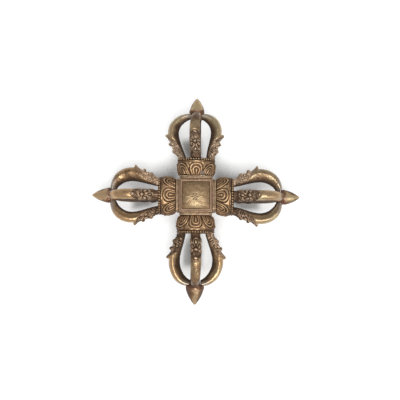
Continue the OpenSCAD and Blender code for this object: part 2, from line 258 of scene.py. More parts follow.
def jewel(x, y, half_x, half_y, rise, moat, moat_w, outset=(0.3, 0.3)):
    """Half ball over an ellipse, with a fine moat cut around it."""
    cut = rim(x, y, half_x + outset[0], half_y + outset[1], moat_w)
    return rise * dome(x, y, half_x, half_y) - moat * cut


def spiral(x, y, radius, turns, width):
    """Ridge that winds out from the middle to the given radius."""
    reach = np.hypot(x, y)
    pitch = radius / turns
    winding = reach / pitch - np.arctan2(y, x) / (2 * math.pi)
    off = np.abs(winding - np.round(winding)) * pitch
    return line(off, width) * smooth(1.12 * radius, 0.96 * radius, reach)


def ripple(points, size, seed):
    """Smooth seeded unevenness about 0, with bumps of about the given size."""
    draw = np.random.default_rng(seed)
    total = np.zeros(points.shape[:-1])
    waves = 9
    for _ in range(waves):
        way = draw.normal(size=3)
        way *= math.pi / size * draw.uniform(0.5, 1.5) / np.linalg.norm(way)
        total += np.sin(points @ way + draw.uniform(0, 2 * math.pi))
    return total / math.sqrt(waves)


def hollows(height, passes=14, span=0.5):
    """Height against the places around it: 0 in a hollow, 0.5 on the level, 1 on a ridge."""
    mean = height
    for _ in range(passes):
        mean = (np.roll(mean, 1, axis=1) + mean + np.roll(mean, -1, axis=1)) / 3
        padded = np.pad(mean, ((1, 1), (0, 0)), mode="edge")
        mean = (padded[:-2] + padded[1:-1] + padded[2:]) / 3
    return np.clip(0.5 + (height - mean) / span, 0, 1)


def outward(rings):
    """Unit normals of a closed loft's points."""
    around = np.roll(rings, -1, axis=1) - np.roll(rings, 1, axis=1)
    along = np.gradient(rings, axis=0)
    normal = np.cross(around, along)
    shortest = 1e-9
    return normal / np.maximum(np.linalg.norm(normal, axis=-1, keepdims=True), shortest)


def raised(rings, height):
    """Rings with each point moved outward by its height."""
    return rings + outward(rings) * height[..., None]


def arm_axes(compass):
    """Unit vectors of an arm's own frame: up, right and outward."""
    turn = math.radians(compass)
    up = np.array([0, 0, 1])
    right = np.array([math.sin(turn), -math.cos(turn), 0])
    out = np.array([math.cos(turn), math.sin(turn), 0])
    return up, right, out


def on_arm(local, compass):
    """Points of an arm's own frame in the object's frame."""
    up, right, out = arm_axes(compass)
    return HUB_AT + local[..., :1] * up + local[..., 1:2] * right + local[..., 2:] * out


def arm_reach(node, compass):
    """Distance from the hub's middle to a node's far end along an arm."""
    _, _, out = arm_axes(compass)
    return max((corner - HUB_AT) @ out for corner in node_box(node))


def arm_lean(arm, compass):
    """Distance by which an arm's cage leans to the right at its middle, read from its upper claw's box."""
    _, right, _ = arm_axes(compass)
    low, high = node_box(f"claw_{arm}_upper")
    return 2 * ((low + high) / 2 - HUB_AT) @ right


def tip_radius(arm):
    """Radius of a spike's tip at its base, which is the widest part of the spike."""
    low, high = node_box(f"spike_{arm}")
    return (high[2] - low[2]) / 2


def revolved(radius, distance, angles):
    """Rings about the third axis, at distances along it. Radius may differ around a ring."""
    radius = np.broadcast_to(radius, (len(distance), len(angles)))
    distance = np.broadcast_to(distance[:, None], radius.shape)
    return np.stack([radius * np.cos(angles), radius * np.sin(angles), distance], axis=-1)


def full_turn(count):
    """Angles of evenly spread points around a ring."""
    return np.arange(count) * 2 * math.pi / count


def squared(half, power, angles):
    """Radius at each angle of a square with rounded corners. A higher power has sharper corners."""
    return half / (np.abs(np.cos(angles)) ** power + np.abs(np.sin(angles)) ** power) ** (1 / power)


def loft(rings, **marks):
    """Closed shape through rings of points that run anticlockwise about the way they follow."""
    count, around = rings.shape[:2]
    first = np.arange(count - 1)[:, None] * around + np.arange(around)
    second = np.roll(first, -1, axis=1)
    quads = np.stack([first, second, second + around, first + around], axis=-1).reshape(-1, 4)
    start = list(range(around))[::-1]
    end = list(range((count - 1) * around, count * around))
    spread = {name: np.broadcast_to(values, (count, around)).ravel() for name, values in marks.items()}
    return {"points": rings.reshape(-1, 3), "faces": [*quads.tolist(), start, end], "marks": spread}


def merged(shapes):
    """One shape of several."""
    faces = []
    count = 0
    for shape in shapes:
        faces += [[index + count for index in face] for face in shape["faces"]]
        count += len(shape["points"])
    names = shapes[0]["marks"]
    marks = {name: np.concatenate([shape["marks"][name] for shape in shapes]) for name in names}
    return {"points": np.vstack([shape["points"] for shape in shapes]), "faces": faces, "marks": marks}


def add_piece(node, shape, material, warmth=0.5):
    """Object that stands for a CAD node and rides with it. Its metal is redder the warmer it is."""
    mesh = bpy.data.meshes.new("carved_" + node)
    mesh.from_pydata((shape["points"] * MM).tolist(), [], shape["faces"])
    marks = {**shape["marks"], "warm": np.full(len(shape["points"]), warmth)}
    for name, values in marks.items():
        mark = mesh.attributes.new(name, "FLOAT", "POINT")
        mark.data.foreach_set("value", values.astype(np.float32))
    mesh.shade_smooth()
    mesh.set_sharp_from_angle(angle=SHARP_EDGE)
    mesh.materials.append(material)
    piece = bpy.data.objects.new("carved_" + node, mesh)
    bpy.context.scene.collection.objects.link(piece)
    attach(piece, "root")
    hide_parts(node)


# Carving of the makara heads, at a distance s from the claw's foot and q from the middle of its back

def foot_carving(s, q):
    """Waist above the collar with grooves along it."""
    waist = smooth(2.9, 2.0, s) * smooth(BAND_AT + 0.4, BAND_AT - 0.4, q)
    waist_depth = 0.2
    groove_depth = 0.25
    groove_w = 0.24
    grooves = sum(line(q - place, groove_w) for place in (0.8, 2.3, 3.8, 5.3)) * smooth(0.2, 0.6, s)
    return -waist * (waist_depth + groove_depth * grooves)


def brow_carving(s, q):
    """Teardrop gem in a ridged hollow, with a scroll on either side of it."""
    along = s - GEM_AT
    gem = jewel(along, q, 1.25, 0.8, rise=0.75, moat=0.35, moat_w=0.26, outset=(0.35, 0.3))
    setting = rim(along, q, half_x=2.05, half_y=1.6, width=0.3) * smooth(7.0, 6.2, s)
    setting_rise = 0.35
    scroll_off = 3.6
    scroll_rise = 0.5
    scroll = spiral(s - BROW_SCROLL_AT, q - scroll_off, radius=1.6, turns=1.5, width=0.33)
    return gem + setting_rise * setting + scroll_rise * scroll


def eye_carving(s, q):
    """Bulging eyes beside two ridges that spread from the gem, and a bead on either cheek."""
    eye_off = 2.6
    eye = jewel(s - EYE_AT, q - eye_off, 1.1, 0.8, rise=0.6, moat=0.32, moat_w=0.24)
    cheek_off = 5.2
    bead = jewel(s - CHEEK_AT, q - cheek_off, 0.85, 0.7, rise=0.4, moat=0.25, moat_w=0.22)
    ridge_off = 0.3 + 0.5 * (s - 6)
    ridge_rise = 0.35
    ridges = line(q - ridge_off, 0.3) * smooth(5.8, 6.4, s) * smooth(9.6, 8.8, s)
    return eye + ridge_rise * ridges + bead


def nose_carving(s, q):
    """Rolled-up nose with a scroll on either side, and the point of the snout."""
    nose = jewel(s - NOSE_ROLL_AT, q, 1.2, 1.1, rise=0.45, moat=0.3, moat_w=0.24)
    scroll_off = 3.3
    scroll_rise = 0.48
    scroll = spiral(s - NOSE_SCROLL_AT, q - scroll_off, radius=1.35, turns=1.4, width=0.31)
    point_rise = 0.3
    point = dome(s - SNOUT_AT + 0.3, q, half_x=1.0, half_y=0.9)
    return nose + scroll_rise * scroll + point_rise * point


def mouth_place(q):
    """Distance from the foot at which the smooth prong leaves the makara's mouth."""
    return MOUTH_AT - MOUTH_SLANT * q - MOUTH_BEND * q**2


def stroke_carving(s, q, past_mouth):
    """Strokes of the mane behind the cheek, and flutes that follow the mouth up to the snout."""
    stroke_step = 1.25
    stroke_rise = 0.22
    across_strokes = 0.75 * s - 0.66 * q + 0.2 * np.sin(2 * q)
    mane = np.cos(2 * math.pi * across_strokes / stroke_step)
    mane *= smooth(1.6, 2.4, s) * smooth(7.4, 6.6, s) * smooth(4.7, 5.3, q)
    flute_step = 1.05
    flute_rise = 0.24
    flutes = np.cos(2 * math.pi * past_mouth / flute_step)
    flutes *= smooth(-3.6, -2.9, past_mouth) * smooth(0.6, 1.2, q)
    return stroke_rise * mane + flute_rise * flutes


def head_carving(s, q):
    """Height of all that is carved on a makara head.

    The inner part of the flank, past a fine groove, stays a smooth band.
    """
    past_mouth = s - mouth_place(q)
    inside = smooth(0.2, -0.5, past_mouth) * smooth(BAND_AT + 0.3, BAND_AT - 0.3, q)
    fine = brow_carving(s, q) + eye_carving(s, q) + nose_carving(s, q) + stroke_carving(s, q, past_mouth)
    mouth_groove = line(past_mouth - 0.35, 0.25) * smooth(BAND_AT + 0.2, BAND_AT - 0.6, q)
    band_groove = line(q - BAND_AT - 0.2, 0.22) * smooth(0.4, -0.4, past_mouth)
    groove_depth = 0.2
    return foot_carving(s, q) + inside * fine - groove_depth * (mouth_groove + band_groove)


# Claws

def curve(start, end, bend, t):
    """Points of a cubic curve whose two middle points are shares of the way from start to end."""
    t = t[:, None]
    first, second = (start + np.array(share) * (end - start) for share in bend)
    return (1 - t) ** 3 * start + 3 * (1 - t) ** 2 * t * first + 3 * (1 - t) * t**2 * second + t**3 * end


def curl(s, at, rise):
    """Crest of a curl that falls off softly on either side of its place."""
    share = np.clip(np.abs(s - at) / CURL_LEN, 0, 1)
    return rise * (1 + np.cos(math.pi * share)) / 2


def claw_lines(top, stout):
    """Outer and inner line of a claw from its foot past the belly to its end."""
    belly_out = BELLY_OUT + np.array([STOUT_OUTSIDE * stout, 0])
    belly_in = BELLY_IN - np.array([stout, 0])
    end_out = np.array([CLAW_END_R, top])
    end_in = np.array([CLAW_END_R, top - CLAW_END_T])
    outer = np.vstack([
        curve(FOOT_OUT, belly_out, OUTER_LOWER_BEND, LOWER_SHARES),
        curve(belly_out, end_out, OUTER_UPPER_BEND, UPPER_SHARES),
    ])
    inner = np.vstack([
        curve(FOOT_IN, belly_in, INNER_LOWER_BEND, LOWER_SHARES),
        curve(belly_in, end_in, INNER_UPPER_BEND, UPPER_SHARES),
    ])
    return outer, inner


def claw_section(keel):
    """Depth from the back and half width, each from 0 to 1, around half a ring, and how far on the back."""
    turn = np.linspace(0, math.pi / 2, BACK_POINTS)
    flank = np.linspace(0, 1, FLANK_POINTS)[1:]
    rounding = np.sqrt(1 - np.clip((flank - EDGE_ROUND_FROM) / (1 - EDGE_ROUND_FROM), 0, 1) ** 2)
    depth = np.concatenate([CLAW_RIDGE * (1 - np.cos(turn)), CLAW_RIDGE + (1 - CLAW_RIDGE) * flank])
    flank_width = (1 - keel[:, None] * flank**FLANK_POWER) * rounding
    width = np.hstack([np.tile(np.sin(turn), (len(keel), 1)), flank_width])
    back = np.concatenate([np.cos(turn), np.zeros_like(flank)])
    return depth, width, back


def claw_widths():
    """Half width of a claw's rings from its foot to its end."""
    narrowing = CLAW_HALF_W + (CLAW_END_HALF_W - CLAW_HALF_W) * UPPER_SHARES**2
    return np.concatenate([np.full(len(LOWER_SHARES), CLAW_HALF_W), narrowing])


def claw_blank(top, stout):
    """Rings of a claw with the crests of its head, before the fine carving.

    With them come each point's way around from the middle of the back, the side that it is on, and its
    depth from the back.
    """
    outer, inner = claw_lines(top, stout)
    lower_keel = HEAD_KEEL + (CLAW_KEEL - HEAD_KEEL) * LOWER_SHARES**2
    keel = np.concatenate([lower_keel, np.full(len(UPPER_SHARES), CLAW_KEEL)])
    depth, width, back = claw_section(keel)
    s = outer[:, 1] - END_FACE
    crests = curl(s, GEM_AT, BROW_RISE) + curl(s, NOSE_AT, NOSE_RISE)
    snout = SNOUT_RISE * np.clip((s - SNOUT_START) / (SNOUT_AT - SNOUT_START), 0, 1) ** SNOUT_POWER
    snout = snout * smooth(SNOUT_AT + SNOUT_DROP, SNOUT_AT, s)
    place = outer[:, None] + depth[:, None] * (inner - outer)[:, None]
    radius = place[..., 0] + crests[:, None] * back**2 + snout[:, None] * back**3
    half = np.stack([radius, claw_widths()[:, None] * width, place[..., 1]], axis=-1)

    # The left side is the right side in a mirror
    last = half.shape[1] - 1
    mirror = half[:, last - 1:0:-1] * np.array([1, -1, 1])
    steps = np.linalg.norm(np.diff(half, axis=1), axis=-1)
    across = np.hstack([np.zeros((len(half), 1)), np.cumsum(steps, axis=1)])
    return (
        np.concatenate([half, mirror], axis=1),
        np.hstack([across, across[:, last - 1:0:-1]]),
        np.concatenate([np.ones(last + 1), -np.ones(last - 1)]),
        np.concatenate([depth, depth[last - 1:0:-1]]),
    )


def prong_wear_and_shade(rings, depth, stout, darkening, seed):
    """How bright a prong is rubbed, most along its back and the ridge where back and flank meet, with
    painted shade on the inner flank that faces into the cage, deepest at its inner edge.
    """
    bright = 0.64 - darkening
    # Painted shade on the inner flank, which faces into the cage, and more of it at the inner edge
    flank_shade = (0.4 - 0.2 * stout) * smooth(0.3, 0.85, depth)
    edge_darkening = 0.3 * smooth(0.72, 0.95, depth)
    ridge = (0.2 - 0.3 * stout) * line(depth - CLAW_RIDGE, 0.16)
    mottling = 0.07 * ripple(rings, 4.0, seed)
    return np.clip(bright - flank_shade - edge_darkening + ridge + mottling, 0, 1)


def claw_rings(top, stout, head_darkening, prong_darkening, seed):
    """Rings of a carved claw about the arm's axis, with what its finish reads."""
    rings, across, side, depth = claw_blank(top, stout)

    # Every claw is carved by hand, so each head sits and swells a little differently
    draw = np.random.default_rng(seed)
    along = rings[..., 2] - END_FACE + draw.normal(0, 0.2) + 0.25 * ripple(rings, 3.0, seed + 1)
    folded = np.abs(across + side * draw.normal(0, 0.15))
    sideways = np.abs(folded + 0.18 * ripple(rings, 2.6, seed + 2))
    carving = draw.uniform(0.9, 1.1) * head_carving(along, sideways)
    past_mouth = along - mouth_place(sideways)
    head = smooth(0.5, -0.5, past_mouth) * smooth(BAND_AT + 0.6, BAND_AT - 0.4, sideways)
    dents = (0.08 * head + 0.04) * ripple(rings, 1.6, seed + 3)
    height = MOST_CARVED * np.tanh((carving + dents) / MOST_CARVED)
    rings = raised(rings, height)
    rings[..., 0] = np.minimum(rings[..., 0], REST_R + stout)

    # Heads are bright on their ridges and dark at their feet, and a grey film runs along the brazed end
    head_wear = 0.16 - head_darkening + 0.78 * hollows(height)
    foot_grime = (0.05 + 0.6 * head_darkening) * smooth(4.0, 2.4, along)
    wear_and_painted_light = head * head_wear + (1 - head) * prong_wear_and_shade(rings, depth, stout, prong_darkening, seed + 4)
    to_end = top - rings[..., 2]
    edge = smooth(0.25, 0.9, np.abs(rings[..., 1]) / claw_widths()[:, None])
    film = np.maximum(smooth(5.0, 1.5, to_end) * edge, smooth(1.2, 0.3, to_end))
    braze = np.maximum(0.5 * smooth(3.5, 0.8, to_end), 0.3 * smooth(1.6, 0.4, along))
    return rings, {"relief": wear_and_painted_light - foot_grime, "smooth": 1 - head, "braze": braze, "film": film}


def claw(name, top, side_turn, lean, compass, dust, seed):
    """Claw in its place on an arm whose cage leans to the right by a distance at its middle."""
    cos, sin = math.cos(side_turn), math.sin(side_turn)
    darkening = UPPER_GRIME * max(0, cos) + LOWER_DARKENING * max(0, -cos)
    head_darkening = darkening + HEAD_STAINS.get(name, 0)
    prong_darkening = darkening / 2 + PRONG_STAINS.get(name, 0)
    rings, marks = claw_rings(top, STOUT.get(name, 0), head_darkening, prong_darkening, seed)
    share = np.clip((rings[..., 2] - END_FACE) / (top - END_FACE), 0, 1)
    turned = rings.copy()
    turned[..., 0] = rings[..., 0] * cos - rings[..., 1] * sin
    turned[..., 1] = rings[..., 0] * sin + rings[..., 1] * cos + 4 * lean * share * (1 - share)

    # Hands and cloth rub what faces up or down, and dust stays on it; what faces sideways is darkened with
    # painted shade
    upright = np.abs(outward(turned)[..., 0])
    rubbed_and_lit = 0.08 - 0.5 * (1 - upright) ** 2
    marks["relief"] = np.clip(marks["relief"] + rubbed_and_lit, 0, 1)
    marks["film"] = np.maximum(marks["film"], dust * marks["relief"])
    return loft(on_arm(turned, compass), **marks)


# Lotus collars, where u is the distance along the arm

def arch(across, u, head, radius, base):
    """Distance from the edge of a petal's arch, negative inside it."""
    side = base + (radius - base) * smooth(CUP_START, head, u)
    return np.where(u > head, np.hypot(across, u - head) - radius, np.abs(across) - side)


def petal_drop(across, u, head):
    """Height of the drop in the middle of a petal, round at its head and pointed at its foot."""
    half = 0.85
    length = 3.8
    foot_half = half * np.clip(1 - (head - u) / length, 0.02, 1)
    drop = np.where(u > head, dome(across, u - head, half, 0.95), roll(across, foot_half))
    return drop * (u > head - length)


def lotus(rings, angles, u, radius, seed):
    """Height of the lotus petals on a collar's cup. Those beside the middle one lean away from it."""
    draw = np.random.default_rng(seed)
    fanned = angles - PETAL_FAN * np.sin(2 * angles) * (u - PETAL_MIDDLE)
    turns = fanned / PETAL_STEP + 0.03 * ripple(rings, 5.0, seed)
    petal = np.round(turns).astype(int) % PETALS
    across = (turns - np.round(turns)) * PETAL_STEP * radius
    head = PETAL_HEAD + draw.normal(0, 0.2, PETALS)[petal]
    swell = draw.uniform(0.94, 1.05, PETALS)[petal]
    outer = arch(across, u, head, PETAL_R * swell, PETAL_BASE)
    inner_head = head - PETAL_RIM
    inner = arch(across, u, inner_head, PETAL_INNER_R * swell, PETAL_INNER_BASE)
    outer_ridge = 0.62 * roll(outer + 0.6, half=0.62)
    inner_ridge = 0.55 * roll(inner + 0.55, half=0.6)
    groove = 0.3 * line(outer - 0.25, width=0.25)
    drop = 0.62 * petal_drop(across, u, inner_head)

    # Between two petals the one behind them shows, with a ridge along its middle
    off_ridge = PETAL_STEP * radius / 2 - np.abs(across)
    back_petal = 0.25 + 0.2 * line(off_ridge, width=0.3)
    back_petal = back_petal * smooth(0.3, 1.0, outer) * smooth(PETAL_END, PETAL_END - 0.7, u)
    height = outer_ridge - groove + inner_ridge + drop + back_petal
    return height * smooth(CUP_START + 0.2, CUP_START + 0.9, u) * smooth(PETAL_END + 0.4, PETAL_END, u)


def collar_outline():
    """Half width, distance and squareness along a collar: neck, cup, lip, step for the pearl ring, end."""
    neck = np.linspace(HUB_SIDE, CUP_START, NECK_RINGS)
    grooves = line(neck - HUB_SIDE - 0.15, 0.12) + line(neck - HUB_SIDE - 1.0, 0.16)
    grooves = grooves + line(neck - CUP_START, 0.16)
    groove_depth = 0.25
    neck_r = NECK_HALF - groove_depth * grooves
    cup = np.linspace(CUP_START, LIP_AT, CUP_RINGS)
    lip = 0.14 * roll(cup - LIP_AT + 0.42, half=0.4)
    cup_r = np.sqrt(CUP_R**2 - (cup - CUP_MIDDLE) ** 2) + lip
    lip_r = cup_r[-1]
    end_r = [lip_r - 0.15, lip_r - 0.6, SEAT_R, SEAT_R, SEAT_R - 0.2, 8, 4]
    end = [LIP_AT + 0.1, LIP_AT + 0.15, LIP_AT + 0.2, END_FACE - 0.2, END_FACE, END_FACE, END_FACE]
    power = np.concatenate([np.full(len(neck), NECK_CORNER), np.full(len(cup) + len(end), ROUND)])
    return np.concatenate([neck_r, cup_r, end_r]), np.concatenate([neck, cup, end]), power


def lotus_collar(compass, seed, run=None):
    """Collar with its petals, and a run of solder over their carving where one is given."""
    radius, u, power = (column[:, None] for column in collar_outline())
    angles = full_turn(COLLAR_POINTS)
    rings = revolved(squared(radius, power, angles), u[:, 0], angles)
    on_cup = (u > CUP_START) & (u < LIP_AT)
    height = lotus(rings, angles, u, radius, seed) * on_cup
    blob = np.zeros_like(height)
    if run:
        off = np.hypot((angles - run["angle"]) * radius, u - run["at"])
        blob = smooth(run["radius"], 0.7 * run["radius"], off)
        blob_height = 0.3
        height = height * (1 - blob) + blob_height * blob
    height = height + (0.04 + 0.05 * on_cup) * ripple(rings, 1.8, seed + 5) * (u < LIP_AT)
    rings = raised(rings, height)

    # The neck is evenly worn, and the cup is darkened with painted shade towards its sides and behind the
    # pearls
    neck_wear = 0.3 + 0.25 * smooth(NECK_HALF - 0.2, NECK_HALF, radius)
    lip_shade = 0.7 * smooth(LIP_AT - 0.15, LIP_AT + 0.1, u)
    side_shade = 0.02 + 0.42 * np.sin(angles) ** 2
    cup_wear_and_shade = np.clip(hollows(height, span=0.62) - lip_shade - side_shade - 0.3 * blob, 0, 1)
    on_neck = power > ROUND
    relief = np.where(on_neck, neck_wear, cup_wear_and_shade)
    film = np.where(on_neck, 0.3, 0.4 * blob)
    return loft(on_arm(rings, compass), relief=relief, smooth=0.35 * blob, braze=0, film=film)


# Pearl rings

def pearl_ring(compass, seed):
    """Band with a row of pearls, no two quite alike."""
    draw = np.random.default_rng(seed)
    middle = (LIP_AT + END_FACE) / 2
    edge_r = PEARL_BAND_R - 0.2
    bore_r = SEAT_R + 0.1
    band_r = np.array([bore_r, edge_r, PEARL_BAND_R, PEARL_BAND_R, edge_r, bore_r])
    band_u = middle + PEARL_BAND_HALF * np.array([-1, -1, -0.7, 0.7, 1, 1])
    band = revolved(band_r[:, None], band_u, full_turn(PEARL_BAND_POINTS))
    shapes = [loft(on_arm(band, compass), relief=0, smooth=0, braze=0, film=0)]
    most_tilt = 1.35
    tilt = np.linspace(-most_tilt, most_tilt, PEARL_RINGS)
    for turn in full_turn(PEARLS):
        size = PEARL_R * draw.uniform(0.9, 1.08)
        ball = revolved((size * np.cos(tilt))[:, None], size * np.sin(tilt), full_turn(PEARL_POINTS))
        orbit = PEARL_ORBIT + draw.normal(0, 0.06)
        angle = turn + draw.normal(0, 0.004)
        at = middle + draw.normal(0, 0.05)
        ball = ball + np.array([orbit * math.cos(angle), orbit * math.sin(angle), at])
        out = np.hypot(ball[..., 0], ball[..., 1]) - orbit
        # Painted shade darkens the pearls towards the sides of the ring
        side_shade = 0.4 * math.sin(angle) ** 2
        bright = np.clip(0.15 + 0.75 * out / size - side_shade, 0, 1)
        shapes.append(loft(on_arm(ball, compass), relief=bright, smooth=0, braze=0, film=0))
    return merged(shapes)


# Spikes, where u is the distance along the arm

def tip_profile(tip_len, tip_r):
    """Distance from the tip's base and radius along its side, which swells out from a straight cone."""
    rise = tip_len - TIP_LIP
    fall = tip_r - TIP_BLUNT
    cone = math.hypot(rise, fall)
    arc_r = ((cone / 2) ** 2 + TIP_BULGE**2) / (2 * TIP_BULGE)
    middle_u = rise / 2 - (arc_r - TIP_BULGE) * fall / cone
    middle_r = (tip_r + TIP_BLUNT) / 2 - (arc_r - TIP_BULGE) * rise / cone
    closer_to_point = 0.9
    climb = rise * np.linspace(0, 1, TIP_RINGS) ** closer_to_point
    return TIP_LIP + climb, middle_r + np.sqrt(arc_r**2 - (climb - middle_u) ** 2)


def spike_stations(tip_base, reach, tip_r):
    """Distance, half width and squareness along a spike: shaft, block, shoulder and ogive tip."""
    block_at = tip_base - BLOCK_LEN
    side_u, side_r = tip_profile(reach - tip_base, tip_r)
    bead = 0.1 * line(side_u - BRAZE_LEN, width=0.3)
    shaft = np.linspace(END_FACE - 1, block_at - 0.3, SHAFT_RINGS)
    block = np.linspace(block_at, tip_base - 1.7, BLOCK_RINGS)

    # Distance past the tip's base, share of its radius and squareness
    shoulder = [(-1.2, 0.75, 4), (-0.7, 0.88, 3), (-0.3, 0.95, 2.4), (0, 0.96, ROUND), (0.3, 1, ROUND)]
    stations = [(u, SHAFT_R, ROUND) for u in shaft]
    stations += [(u, BLOCK_HALF, BLOCK_CORNER) for u in block]
    stations += [(tip_base + past, share * tip_r, power) for past, share, power in shoulder]
    stations += [(tip_base + u, radius, ROUND) for u, radius in zip(side_u, side_r + bead)]
    return (np.array(column)[:, None] for column in zip(*stations))


def spike(tip_base, reach, tip_r, compass, stain, seed):
    """Middle prong with a rough run of braze around the base of its tip."""
    u, half, power = spike_stations(tip_base, reach, tip_r)
    angles = full_turn(SPIKE_POINTS)
    rings = revolved(squared(half, power, angles), u[:, 0], angles)
    past_base = u - tip_base
    joint = smooth(1.4 * BRAZE_LEN, 0.2 * BRAZE_LEN, np.abs(past_base))
    height = (0.03 + 0.14 * joint) * ripple(rings, 1.3, seed) * smooth(reach, reach - 1, u)
    rings = raised(rings, height)
    rings[..., 2] = np.minimum(rings[..., 2], reach)
    polished = smooth(0.6 * BRAZE_LEN, BRAZE_LEN, past_base)
    bright = 0.65 - stain + 0.2 * polished + height
    # A brighter line on the bead, from wear on it and a painted highlight
    bead = 0.15 * line(past_base - BRAZE_LEN, 0.35)
    seam = 0.2 * line(past_base - 0.1, 0.4)
    # Painted shade towards the tip's sides
    side_shade = 0.75 * np.sin(angles) ** 2
    mottling = 0.12 * polished * ripple(rings, 5.0, seed + 7)
    relief = np.clip(np.clip(bright + bead - seam - side_shade, 0, 1) + mottling, 0, 1)
    return loft(on_arm(rings, compass), relief=relief, smooth=polished, braze=joint, film=0)


# Hub and bosses

def hub(seed):
    """Hub block with a frame line and fine grooves around the recess of each boss."""
    inner = BOSS_HALF + 0.05
    outer = inner + FRAME_W

    # Half width, height, squareness and wear from the middle of the upper face to the top of the sides
    face = [
        (0.3, BOSS_FOOT, RECESS_CORNER, 0.1),
        (inner, BOSS_FOOT, RECESS_CORNER, 0.1),
        (inner, FRAME_TOP - 0.5, RECESS_CORNER, 0.2),
        (inner + 0.1, FRAME_TOP - 0.35, RECESS_CORNER, 0.25),
        (inner + 0.25, FRAME_TOP - 0.1, RECESS_CORNER, 0.6),
        (inner + 0.4, FRAME_TOP, RECESS_CORNER, 0.75),
        (outer - 0.2, FRAME_TOP, RECESS_CORNER, 0.75),
        (outer - 0.05, FRAME_TOP - 0.1, 36, 0.6),
        (outer + 0.08, FRAME_TOP - 0.35, 34, 0.25),
        (outer + 0.25, FRAME_TOP - 0.37, 32, 0.25),
        (outer + 0.35, FRAME_TOP - 0.3, 30, 0.42),
        (outer + 0.6, FRAME_TOP - 0.3, 28, 0.45),
        (HUB_SIDE - 0.35, FRAME_TOP - 0.4, 24, 0.45),
        (HUB_SIDE - 0.12, FRAME_TOP - 0.55, 22, 0.45),
        (HUB_SIDE - 0.03, HUB_TOP - 0.05, HUB_CORNER, 0.45),
        (HUB_SIDE, HUB_TOP - 0.4, HUB_CORNER, 0.4),
    ]
    side_heights = np.linspace(HUB_TOP - 1, 1 - HUB_TOP, HUB_SIDE_RINGS)
    sides = [(HUB_SIDE, z, HUB_CORNER, 0.45) for z in side_heights]
    under = [(half, -z, power, wear_and_painted_light) for half, z, power, wear_and_painted_light in face]
    profile = np.array([*under, *sides[::-1], *face[::-1]])
    half, height, power, wear_and_painted_light = (profile[:, column, None] for column in range(4))
    angles = full_turn(HUB_POINTS)
    rings = revolved(squared(half, power, angles), height[:, 0], angles)
    rings = raised(rings, 0.04 * ripple(rings, 1.6, seed))
    return loft(rings + HUB_AT, relief=wear_and_painted_light, smooth=0.3, braze=0, film=0)


def rosette(x, y):
    """Height of the flower that is cut and punched into a boss."""
    reach = np.hypot(x, y)
    turn = np.arctan2(y, x)
    button = 0.12 * dome(x, y, 0.7, 0.7) - 0.2 * line(reach - 0.85, 0.2)
    punch_r = 1.9
    punches = sum(
        line(np.hypot(x - punch_r * math.cos(angle), y - punch_r * math.sin(angle)), 0.42)
        for angle in full_turn(6)
    )
    punch_depth = 0.35
    strokes = np.cos(24 * turn) * smooth(2.7, 3.3, reach) * smooth(6.6, 5.6, reach)
    petals = np.cos(12 * turn) * smooth(3.4, 4.2, reach) * smooth(7.2, 6.4, reach)
    stroke_rise = 0.03
    return button - punch_depth * punches + stroke_rise * (strokes + petals)


def boss(face, seed):
    """Square cushion with its rosette, on the upper or the lower face of the hub."""
    angles = full_turn(BOSS_POINTS)
    share = np.concatenate([[1, 1, 1], np.linspace(1, 0.01, BOSS_RINGS)[1:]])[:, None]
    power = ROUND + 34 * share**2
    radius = squared(BOSS_HALF * share, power, angles)
    x = radius * np.cos(angles)
    y = radius * np.sin(angles)
    edge_power = 5
    edge = (np.abs(x) ** edge_power + np.abs(y) ** edge_power) ** (1 / edge_power) / BOSS_HALF
    cushion = BOSS_TOP - BOSS_RISE * (x**2 + y**2) / (2 * BOSS_HALF**2)
    drop_from = 0.55
    edge_drop = 0.8 * np.clip((edge - drop_from) / (1 - drop_from), 0, 1) ** 2.5
    flower_x, flower_y = FLOWER_AT
    dents = 0.05 * ripple(np.stack([x, y, np.zeros_like(x)], axis=-1), 2.2, seed)
    height = rosette(x - flower_x, y - flower_y) + dents
    z = np.minimum(cushion - edge_drop + height, BOSS_TOP)
    z[0] = BOSS_FOOT
    z[1] = BOSS_FOOT + 0.4
    rings = np.stack([x, y, z], axis=-1)
    # Painted highlight over the southern half of the boss
    rubbed_and_lit = 0.2 * line(np.hypot(x, 1.3 * (y + 3.2)), 5.0)
    # Darker all over, and more so at the edge where the boss dips into its recess
    edge_darkening = 0.08 + 0.1 * smooth(0.95, 1, edge)
    relief = np.clip(hollows(height, passes=10, span=0.6) + rubbed_and_lit - edge_darkening, 0, 1)
    if face < 0:
        rings = rings[:, ::-1] * np.array([1, 1, -1])
        relief = relief[:, ::-1]
    return loft(rings + HUB_AT, relief=relief, smooth=0.7, braze=0, film=0)


# Finishes

def linear(code):
    """Linear colour of a hex code."""
    parts = [int(code[i:i + 2], 16) / 255 for i in (1, 3, 5)]
    return (*[part / 12.92 if part < 0.04045 else ((part + 0.055) / 1.055) ** 2.4 for part in parts], 1)


